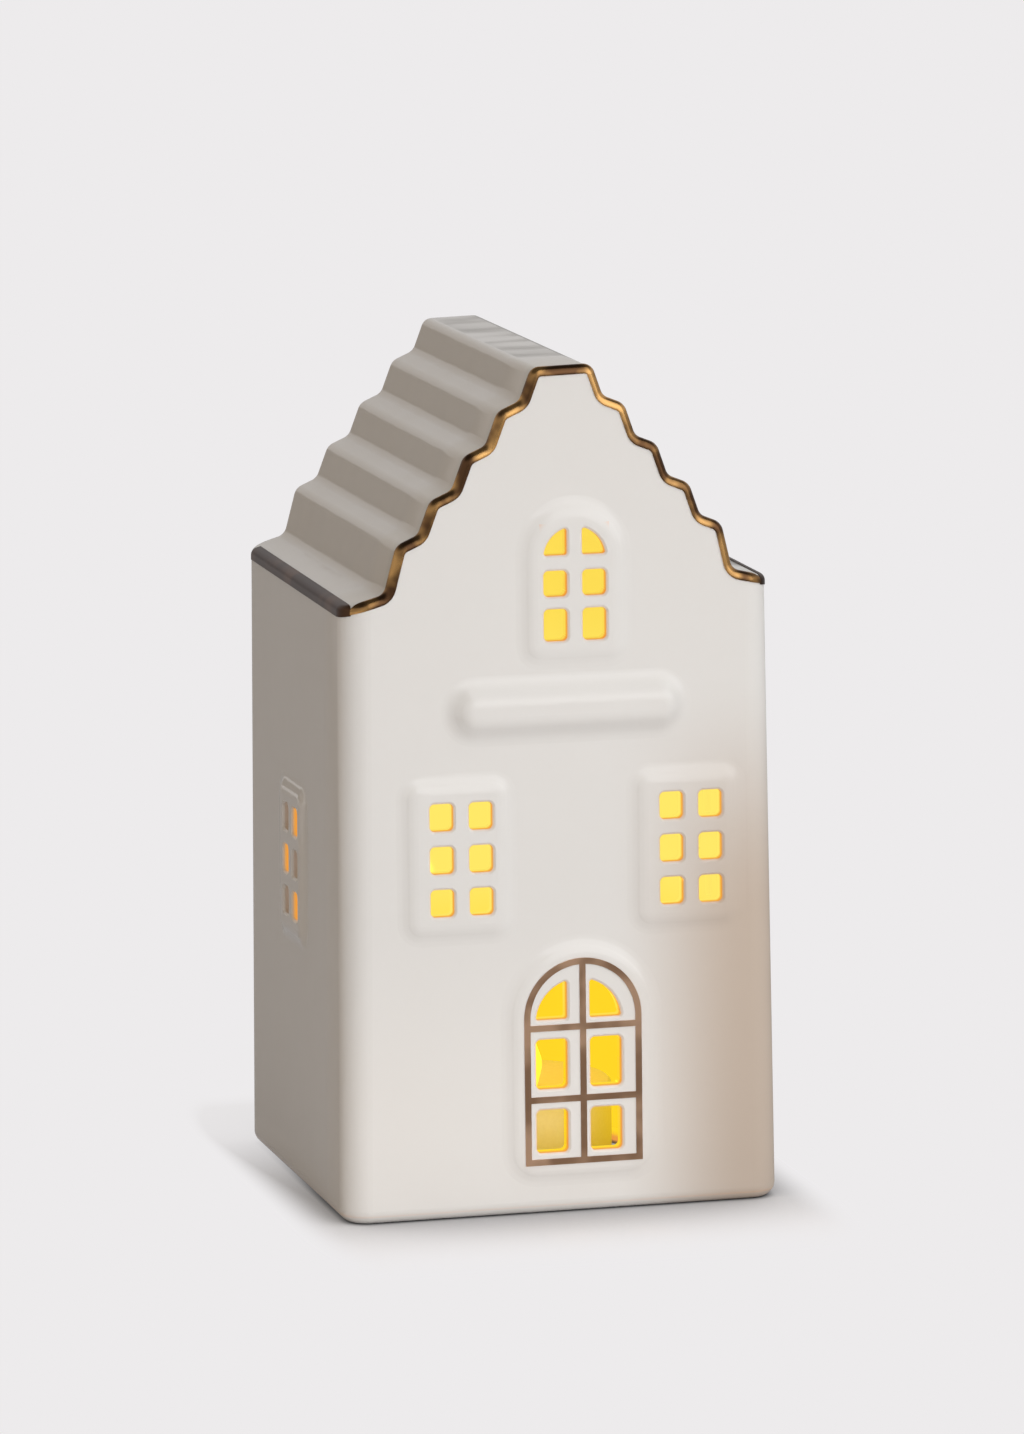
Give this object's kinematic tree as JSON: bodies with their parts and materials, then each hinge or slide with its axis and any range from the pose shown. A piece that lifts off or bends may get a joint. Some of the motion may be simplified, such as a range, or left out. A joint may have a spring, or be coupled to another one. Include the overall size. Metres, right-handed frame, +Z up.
{
  "type": "tealight house",
  "caption": "Glazed porcelain house with stepped gable roof, pierced windows and gold lines, that stands over an LED tealight and glows through its panes.",
  "frame": {"origin": "on the table, under the middle of the whole object's outline", "axes": "+Z up, the front gable with the door faces -Y, +X to the right seen from the front"},
  "size_m": [0.0806, 0.0804, 0.1519],
  "materials": {
    "white_glaze": "glossy clear glaze on warm white slip-cast porcelain",
    "gold_lustre": "brushed-on fired gold lustre",
    "ivory_plastic": "moulded satin plastic",
    "flame_diffuser": "frosted translucent moulding, lit from inside",
    "lamp_resin": "clear epoxy lens with tinned leads",
    "cell_steel": "nickel plated steel can",
    "contact_metal": "stamped spring strip",
    "black_plastic": "moulded satin plastic"
  },
  "bodies": {
    "tealight": {"tealight_cup": "ivory_plastic", "tealight_base": "ivory_plastic", "flame_lens": "flame_diffuser", "led_lamp": "lamp_resin", "coin_cell": "cell_steel", "negative_contact": "contact_metal", "positive_contact": "contact_metal"},
    "house": {"house_shell": "white_glaze", "gable_gold_line": "gold_lustre", "left_eave_gold_line": "gold_lustre", "right_eave_gold_line": "gold_lustre", "door_gold_outline": "gold_lustre", "door_gold_bars": "gold_lustre"},
    "switch": {"switch_slider": "black_plastic"},
    "battery_cover": {"battery_door": "ivory_plastic"}
  },
  "joints": [
    {"name": "house_lift", "type": "slide", "parent": "tealight", "child": "house", "axis": [0, 0, 1], "range_m": [0, 0.05]},
    {"name": "switch_slide", "type": "slide", "parent": "tealight", "child": "switch", "axis": [0, 1, 0], "range_m": [0, 0.003]},
    {"name": "battery_door_turn", "type": "hinge", "parent": "tealight", "child": "battery_cover", "pos_m": [-0.002, 0.0012, 0.0015], "axis": [0, 0, 1], "range_deg": [0, 40]}
  ]
}
